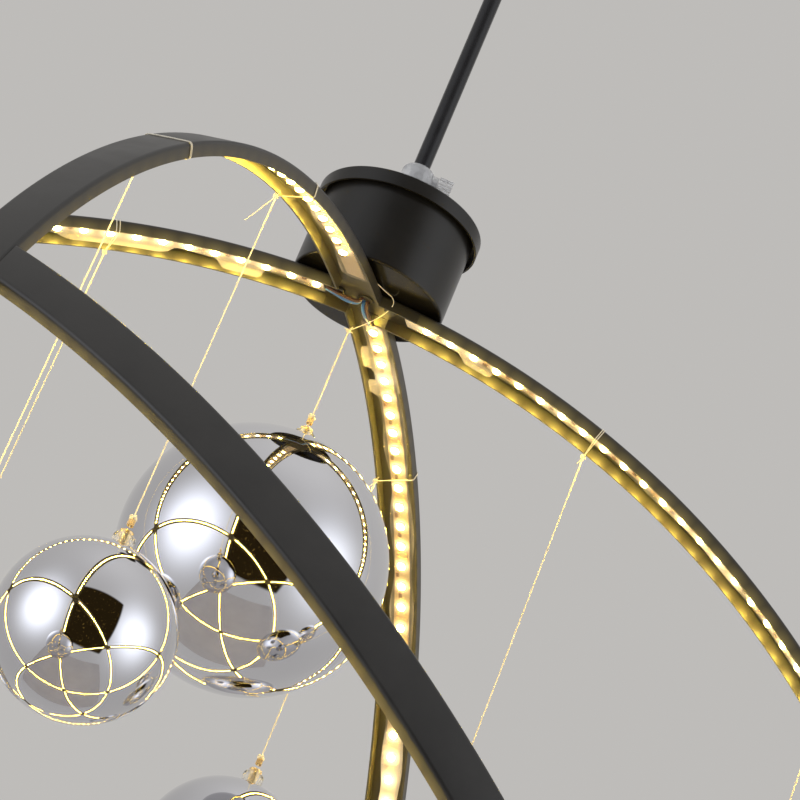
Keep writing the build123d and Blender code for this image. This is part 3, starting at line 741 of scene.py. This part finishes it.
# ---- Feed wires: two pairs from the grommet to the tape ends ------------------------------------
WIRE_RADIUS = 1.0 * MM
WIRE_SPREAD = 1.9 * MM
wire_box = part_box("blue_wires")
WIRE_TOP = wire_box[1].z
WIRE_LOW = wire_box[0].z + WIRE_RADIUS
WIRE_SAG = {"blue": 1.2 * MM, "brown": 0.2 * MM}
for colour, shift in (("blue", WIRE_RADIUS), ("brown", -WIRE_RADIUS)):
    data = new_curve(f"{colour}_leads", WIRE_RADIUS)
    for toward, aside in ((Vector((-1, 0, 0)), Vector((0, 1, 0))),
                          (RINGS["cross"].across, -RINGS["cross"].normal)):
        places = ((WIRE_SPREAD, WIRE_TOP), (WIRE_SPREAD, WIRE_LOW + 5 * MM),
                  (WIRE_SPREAD + 0.8 * MM, WIRE_LOW), (10 * MM, WIRE_LOW - WIRE_SAG[colour]),
                  (17 * MM, WIRE_LOW + 0.3 * MM), (23.5 * MM, WIRE_LOW + 1.2 * MM))
        add_spline(data, [toward * reach + aside * shift + Vector((0, 0, height))
                          for reach, height in places])
    leads = add_piece(data, "orb", f"{colour}_sheath", FINISHES[f"{colour}_sheath"])
    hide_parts(f"{colour}_wires")


# ---- Channels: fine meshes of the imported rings, with the same crossings --------------------------
ring_order = list(RINGS)


class Crossing:
    """Where another ring passes through this one."""

    def __init__(self, ring, other, later, rising):
        self.lean = ring.normal.dot(other.normal)
        up, over = ring.top.dot(other.normal), ring.across.dot(other.normal)
        self.size = math.hypot(up, over)
        self.rising = 1 if rising else -1
        self.angle = (math.atan2(over, up) - self.rising * math.pi / 2) % (2 * math.pi)
        self.later = later

    def edge(self, direction, reach, past=0.0):
        """Angle at which a point leaves the other ring's band of half width reach, plus past."""
        def at(radius, side):
            sine = (direction * reach - self.rising * side * self.lean) / (radius * self.size)
            return self.angle + math.asin(sine) + past
        return at


def crossings_of(name):
    ring, number = RINGS[name], ring_order.index(name)
    found = [Crossing(ring, other, ring_order.index(key) > number, rising)
             for key, other in RINGS.items() if other is not ring for rising in (True, False)]
    return sorted(found, key=lambda crossing: crossing.angle)


def arcs_of(name):
    """Each arc between neighbouring crossings, and the full turn to add to the second one's
    angle where the ring closes."""
    found = crossings_of(name)
    for k, first in enumerate(found):
        yield first, found[(k + 1) % len(found)], 2 * math.pi if k + 1 == len(found) else 0.0


CORNER_STEPS = 6


def rounded_corner(radius, side, turn):
    """The bend of the channel on one side, as (radius, side) pairs."""
    return [(radius - CHANNEL_CORNER * (1 - math.sin(lift)),
             side - turn * CHANNEL_CORNER * (1 - math.cos(lift)))
            for lift in (math.pi / 2 * k / CORNER_STEPS for k in range(CORNER_STEPS + 1))]


HALF_WIDTH = CHANNEL_WIDTH / 2
HALF_CLEAR = HALF_WIDTH - CHANNEL_WALL
OUTER_SKIN = (rounded_corner(ORB_RADIUS, -HALF_WIDTH, -1)
              + rounded_corner(ORB_RADIUS, HALF_WIDTH, 1)[::-1])
U_SECTION = ([(INNER_RADIUS, -HALF_WIDTH)] + OUTER_SKIN
             + [(INNER_RADIUS, HALF_WIDTH), (INNER_RADIUS, HALF_CLEAR), (BASE_RADIUS, HALF_CLEAR),
                (BASE_RADIUS, -HALF_CLEAR), (INNER_RADIUS, -HALF_CLEAR)])
WEB_INSET = 0.12 * MM               # where the floor's edge meets the rounded corner
WEB_SECTION = ([(BASE_RADIUS, -HALF_WIDTH + WEB_INSET)]
               + [pair for pair in OUTER_SKIN if pair[0] > BASE_RADIUS]
               + [(BASE_RADIUS, HALF_WIDTH - WEB_INSET)])
WEB_STEPS = 8
ARC_STEPS_PER_TURN = 720


def arc_steps(span):
    return max(4, round(span / (2 * math.pi) * ARC_STEPS_PER_TURN))


def build_channel(name):
    ring, channel = RINGS[name], Mesher()
    for first, second, past in arcs_of(name):
        start = first.edge(1, HALF_CLEAR if first.later else HALF_WIDTH)
        stop = second.edge(-1, HALF_CLEAR if second.later else HALF_WIDTH, past)
        span = stop(ORB_RADIUS, 0) - start(ORB_RADIUS, 0)
        channel.sweep(ring, lambda share: U_SECTION, start, stop, arc_steps(span))
    for crossing in crossings_of(name):
        if crossing.later:
            channel.sweep(ring, lambda share: WEB_SECTION, crossing.edge(-1, HALF_CLEAR),
                          crossing.edge(1, HALF_CLEAR), WEB_STEPS)
    piece = add_piece(channel.mesh(f"channel_{name}", sharp=25.0), "orb", "ring_paint",
                      RING_PAINTS_AND_GLOWS[name])
    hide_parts(f"ring_{name}")


# ---- LED tapes, their chips and parts, and the glue film over them -------------------------------
STRIP_REACH = HALF_WIDTH + STRIP_END_GAP
TAPE_SECTION = [(TAPE_FOOT, -TAPE_WIDTH / 2), (TAPE_FOOT, TAPE_WIDTH / 2),
                (TAPE_TOP, TAPE_WIDTH / 2), (TAPE_TOP, -TAPE_WIDTH / 2)]

# Where the glue has run to a wall of its channel: middle and half length in degrees from the
# ring's top, which wall, and how far up it.
PUDDLES = {
    "main": ((-17.3, 4.4, -1, 0.70), (-8.9, 1.8, -1, 1.0), (8.2, 1.4, -1, 0.6)),
    "cross": ((-7.4, 1.8, 1, 1.0), (-13.5, 6.5, 1, 0.3), (8.0, 2.0, 1, 0.6), (7.2, 1.2, -1, 0.7),
              (10.3, 0.8, -1, 0.4)),
}
PUDDLE_RISE = 4.6 * MM
PUDDLE_SLOPE = 2.5                  # how fast its ends rise, against its half length


def puddle(name, angle, wall):
    """How far the glue has climbed one wall at an angle, from 0 to 1."""
    climbed = 0.0
    for middle, half, side, fill in PUDDLES.get(name, ()):
        away = (angle - math.radians(middle) + math.pi) % (2 * math.pi) - math.pi
        off = abs(away) / math.radians(half)
        if side == wall and off < 1:
            ease = min(1.0, (1 - off) * PUDDLE_SLOPE)
            climbed = max(climbed, fill * ease * ease * (3 - 2 * ease))
    return climbed


FILM_STEPS = 10
FILM_RIM = 0.15 * MM                # the film's thickness at its edges
FILM_WALL_GAP = 0.1 * MM
WIDENS_FIRST = 3                    # a puddle is at the wall by a third of its climb


def uneven(place, seed, middle, swing):
    """A share that wanders along the tape."""
    return middle + swing * noise.noise(Vector((place, seed, 0)))


def film_section(name, angle, number):
    """The glue film's outline at one place along it: uneven in height and in width."""
    place = angle + 9 * number
    height = SLEEVE_HEIGHT * uneven(place * 14, 0.3, 0.80, 0.30)
    left = SLEEVE_WIDTH / 2 * uneven(place * 16, 7.1, 1.08, 0.45)
    right = SLEEVE_WIDTH / 2 * uneven(place * 13, 3.7, 1.08, 0.45)
    climb_left, climb_right = puddle(name, angle, -1), puddle(name, angle, 1)
    wall = HALF_CLEAR - FILM_WALL_GAP
    left += (wall - left) * min(1.0, climb_left * WIDENS_FIRST)
    right += (wall - right) * min(1.0, climb_right * WIDENS_FIRST)
    dome = []
    for k in range(FILM_STEPS + 1):
        turn = math.pi * k / FILM_STEPS
        across = math.cos(turn)
        half, climb = (left, climb_left) if across > 0 else (right, climb_right)
        lift = max((height - FILM_RIM) * math.sin(turn) ** 0.6,
                   PUDDLE_RISE * climb * abs(across) ** 3)
        dome.append((TAPE_FOOT - FILM_RIM - lift, -across * half))
    inner = TAPE_WIDTH / 2 + GLUE
    return ([(TAPE_FOOT, -left)] + dome
            + [(TAPE_FOOT, right), (TAPE_FOOT, inner), (TAPE_TOP - GLUE, inner),
               (TAPE_TOP - GLUE, -inner), (TAPE_FOOT, -inner)])


def clear_of_crossings(ring, angle, margin):
    place = ring.point(angle, TAPE_TOP, 0) - ORB
    return all(abs(place.dot(other.normal)) > STRIP_REACH + margin
               for other in RINGS.values() if other is not ring)


def chip_angles(name):
    for side, first in zip((-1, 1), FIRST_CHIP[name]):
        angle = math.radians(first)
        while angle < math.pi - CHIP_STEP / 2:
            yield side * angle
            angle += CHIP_STEP


SHORTEST_STRIP = 0.02               # radians; the tape skips shorter arcs


def dress_tape(name):
    ring, tape, film = RINGS[name], Mesher(), Mesher()
    for number, (first, second, past) in enumerate(arcs_of(name)):
        start, stop = first.edge(1, STRIP_REACH), second.edge(-1, STRIP_REACH, past)
        begins = start(ORB_RADIUS, 0)
        span = stop(ORB_RADIUS, 0) - begins
        if span >= SHORTEST_STRIP:
            tape.sweep(ring, lambda share: TAPE_SECTION, start, stop, arc_steps(span))
            film.sweep(ring, lambda share: film_section(name, begins + share * span, number),
                       start, stop, arc_steps(span) * 2)
    strip = add_piece(tape.mesh(f"tape_{name}"), "orb", "led_tape", TAPES[name])
    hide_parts(f"led_tape_{name}")
    cover = add_piece(film.mesh(f"film_{name}", sharp=60.0), "orb", "clear_silicone",
                      FILMS[name])
    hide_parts(f"led_sleeve_{name}")


CHIP_TAPER = 0.97                   # its top against its foot
RESISTOR_TAPER = 0.94
RESISTOR_HALF = (1.5 * MM, 0.9 * MM)
RESISTOR_HEIGHT = 0.6 * MM
RESISTOR_SIDES = {0: -3.0 * MM, 1: -1.2 * MM}
PAD_PLACE = (1.4 * MM, 2.6 * MM)    # along the tape and across it
PAD_HALF = (0.9 * MM, 1.1 * MM)
PAD_HEIGHT = 0.25 * MM


def add_chips(name):
    """Chips with their clear drops, and between them resistors or, each third time, four pads."""
    ring, chips, parts = RINGS[name], Mesher(), Mesher()
    side, half = ring.normal, CHIP_SIZE / 2
    for number, angle in enumerate(chip_angles(name)):
        if clear_of_crossings(ring, angle, half - 0.5 * MM):
            out, along = ring.outward(angle), ring.tangent(angle)
            foot = ring.point(angle, TAPE_TOP, 0)
            chips.block(foot, along * half, side * half, -out * CHIP_HEIGHT, CHIP_TAPER)
            chips.dome(foot - out * CHIP_HEIGHT, along * LENS_RADIUS, side * LENS_RADIUS,
                       -out * (LENS_TOP - CHIP_HEIGHT), sides=12, rings=3)
        between = angle + CHIP_STEP / 2
        if not clear_of_crossings(ring, between, half):
            continue
        out, along = ring.outward(between), ring.tangent(between)
        if number % 3 in RESISTOR_SIDES:
            foot = ring.point(between, TAPE_TOP, RESISTOR_SIDES[number % 3])
            parts.block(foot, along * RESISTOR_HALF[0], side * RESISTOR_HALF[1],
                        -out * RESISTOR_HEIGHT, RESISTOR_TAPER)
            continue
        for shift in (-PAD_PLACE[0], PAD_PLACE[0]):
            for offset in (-PAD_PLACE[1], PAD_PLACE[1]):
                parts.dome(ring.point(between + shift / TAPE_TOP, TAPE_TOP, offset),
                           along * PAD_HALF[0], side * PAD_HALF[1], -out * PAD_HEIGHT,
                           sides=8, rings=2)
    add_piece(chips.mesh(f"led_chips_{name}"), "orb", "led_tape", CHIP_BODY, CHIP_LIGHT)
    add_piece(parts.mesh(f"tape_parts_{name}"), "orb", "led_tape", RESISTOR, COPPER_PAD)


for ring_name in RINGS:
    build_channel(ring_name)
    dress_tape(ring_name)
    add_chips(ring_name)


# ---- Studio: a pale floor, and a pale room with soft lights and a dark wall ----------------------
FLOOR_DROP = 1.0                    # below the orb's lowest point
FLOOR_Z = cad_box[0][2] - FLOOR_DROP
FLOOR_HALF = 1.25
floor_mesh = bpy.data.meshes.new("floor")
floor_mesh.from_pydata([(x * FLOOR_HALF, y * FLOOR_HALF, FLOOR_Z)
                        for x, y in ((-1, -1), (1, -1), (1, 1), (-1, 1))], [], [(0, 1, 2, 3)])
floor = bpy.data.objects.new("floor", floor_mesh)
bpy.context.scene.collection.objects.link(floor)
floor_finish = Finish("floor_finish", (0.60, 0.57, 0.56), 0.6)
floor_finish.vary(floor_finish.noise(2.0), (0.56, 0.53, 0.525), (0.62, 0.59, 0.58))
floor_mesh.materials.append(floor_finish.material)


class Room(NodeTree):
    """The world: a base tone, soft lights given by direction, and a dark wall facing the orb."""

    def __init__(self, tone):
        world = bpy.data.worlds.new("studio")
        bpy.context.scene.world = world
        world.use_nodes = True
        super().__init__(world.node_tree, "Generated")
        paint = self.add("ShaderNodeRGB")
        paint.outputs[0].default_value = (*tone, 1.0)
        self.color = paint.outputs[0]

    def toward(self, direction):
        """Cosine of the angle from a direction."""
        return self.vector_math("DOT_PRODUCT", self.place, Vector(direction).normalized())

    def mix(self, share, color, kind="MIX"):
        node = self.add("ShaderNodeMix", data_type="RGBA", blend_type=kind)
        self.link(share, node.inputs["Factor"])
        self.link(self.color, node.inputs["A"])
        self.fill(node.inputs["B"], color)
        self.color = node.outputs["Result"]

    def soft_light(self, direction, width, color):
        """A wide light that falls off smoothly with the angle from its middle, in degrees."""
        away = self.math("SUBTRACT", 1.0, self.toward(direction))
        share = self.math("EXPONENT", self.math("MULTIPLY", away, -2 / math.radians(width) ** 2))
        self.mix(share, (*color, 1.0), "ADD")

    def dark_wall(self, direction, half_wide, half_high, dark, speckle):
        """A grained wall ahead in a direction, with its half width and half height in degrees."""
        ahead = Vector(direction).normalized()
        beside = ahead.cross(Vector((0, 0, 1))).normalized()
        above = beside.cross(ahead)
        depth = self.toward(ahead)
        inside = self.math("GREATER_THAN", depth, 0.05)
        for axis, half in ((beside, half_wide), (above, half_high)):
            offset = self.math("DIVIDE", self.math("ABSOLUTE", self.toward(axis)), depth)
            edge = math.tan(math.radians(half))
            within = self.spread(offset, 1.0, 0.0, edge - WALL_SOFTNESS, edge + WALL_SOFTNESS,
                                 "SMOOTHSTEP")
            inside = self.math("MULTIPLY", inside, within)
        grain = self.noise(20.0, 9.0, 0.7)
        self.mix(inside, self.ramp(grain, (0.60, dark), (0.86, speckle)))

    def finish(self, tone):
        """What stands round the orb only shows in its surfaces; behind it the room stays plain."""
        seen = self.add("ShaderNodeLightPath").outputs["Is Camera Ray"]
        self.mix(seen, (*tone, 1.0))
        self.link(self.color, self.tree.nodes["Background"].inputs["Color"])


WALL_SOFTNESS = 0.035               # of its edges, at a distance of 1
ROOM_TONE = (0.515, 0.503, 0.487)
room = Room(ROOM_TONE)
room.soft_light((-0.86, -0.51, -0.08), 25.0, (1.85, 1.95, 2.15))
room.soft_light((0.87, -0.49, 0.07), 26.0, (1.5, 1.58, 1.72))
room.soft_light((0.1, -0.2, 1.0), 40.0, (0.25, 0.25, 0.25))
room.dark_wall((0.10, -0.97, -0.08), 30.0, 36.0, (0.024, 0.015, 0.005), (0.85, 0.52, 0.12))
room.finish(ROOM_TONE)
bpy.context.scene.view_settings.view_transform = "Standard"
